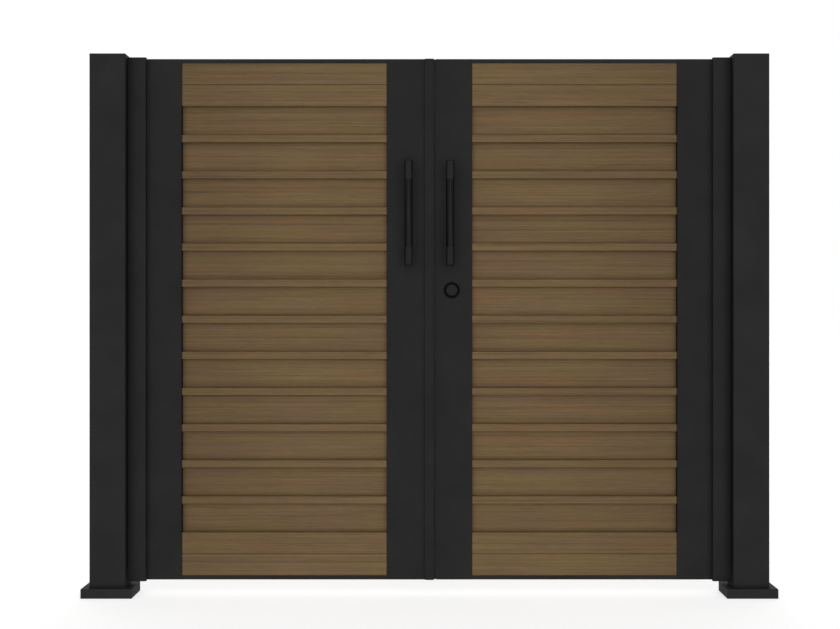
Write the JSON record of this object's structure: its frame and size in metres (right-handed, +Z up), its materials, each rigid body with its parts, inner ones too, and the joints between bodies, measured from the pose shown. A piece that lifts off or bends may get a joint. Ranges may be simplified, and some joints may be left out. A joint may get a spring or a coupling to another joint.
{
  "type": "double swing gate",
  "caption": "Double swing gate: boarded leaves in dark aluminium frames hung on rear hinges between square posts, with pull handles and a lock.",
  "frame": {"origin": "middle of the left post's foot plate, on its underside", "axes": "+X along the gate from the left post to the right post, +Y from the street side to the rear, +Z up"},
  "size_m": [2.322, 0.21, 1.818],
  "materials": {
    "post_coat": "dark grey powder coat, fine satin",
    "frame_coat": "dark grey powder coat, fine satin",
    "plank": "brown wood-grain composite, matt",
    "strip": "brown wood-grain composite, matt",
    "board": "brown wood-grain composite, matt",
    "handle_coat": "dark grey powder coat, satin",
    "hinge_coat": "dark grey coat on steel",
    "pin_steel": "plain steel",
    "foot_steel": "galvanised steel",
    "lock_black": "black, satin",
    "lock_grey": "dark grey, satin"
  },
  "bodies": {
    "posts": {"left_post": "post_coat", "left_post_cap": "post_coat", "left_base_plate": "foot_steel", "left_base_cover": "post_coat", "left_jamb": "frame_coat", "left_jamb_caps": "frame_coat", "left_hinge_fixed": "hinge_coat", "left_hinge_pins": "pin_steel", "right_post": "post_coat", "right_post_cap": "post_coat", "right_base_plate": "foot_steel", "right_base_cover": "post_coat", "right_jamb": "frame_coat", "right_jamb_caps": "frame_coat", "right_hinge_fixed": "hinge_coat", "right_hinge_pins": "pin_steel"},
    "left_leaf": {"left_hinge_stile": "frame_coat", "left_lock_stile": "frame_coat", "left_stile_caps": "frame_coat", "left_top_rail": "frame_coat", "left_bottom_rail": "frame_coat", "left_planks": "plank", "left_strips": "strip", "left_top_boards": "board", "left_bottom_boards": "board", "left_handle_bars": "handle_coat", "left_handle_standoffs": "handle_coat", "left_hinge_moving": "hinge_coat", "left_meeting_strip": "frame_coat", "left_meeting_caps": "frame_coat"},
    "right_leaf": {"right_hinge_stile": "frame_coat", "right_lock_stile": "frame_coat", "right_stile_caps": "frame_coat", "right_top_rail": "frame_coat", "right_bottom_rail": "frame_coat", "right_planks": "plank", "right_strips": "strip", "right_top_boards": "board", "right_bottom_boards": "board", "right_handle_bars": "handle_coat", "right_handle_standoffs": "handle_coat", "right_hinge_moving": "hinge_coat", "right_lock_ring": "lock_black", "right_lock_core": "lock_grey"}
  },
  "joints": [
    {"name": "left_leaf_hinge", "type": "hinge", "parent": "posts", "child": "left_leaf", "pos_m": [0.1115, 0.0695, 0.9], "axis": [0, 0, 1], "range_deg": [0, 110]},
    {"name": "right_leaf_hinge", "type": "hinge", "parent": "posts", "child": "right_leaf", "pos_m": [2.0405, 0.0695, 0.9], "axis": [0, 0, -1], "range_deg": [0, 110]}
  ]
}
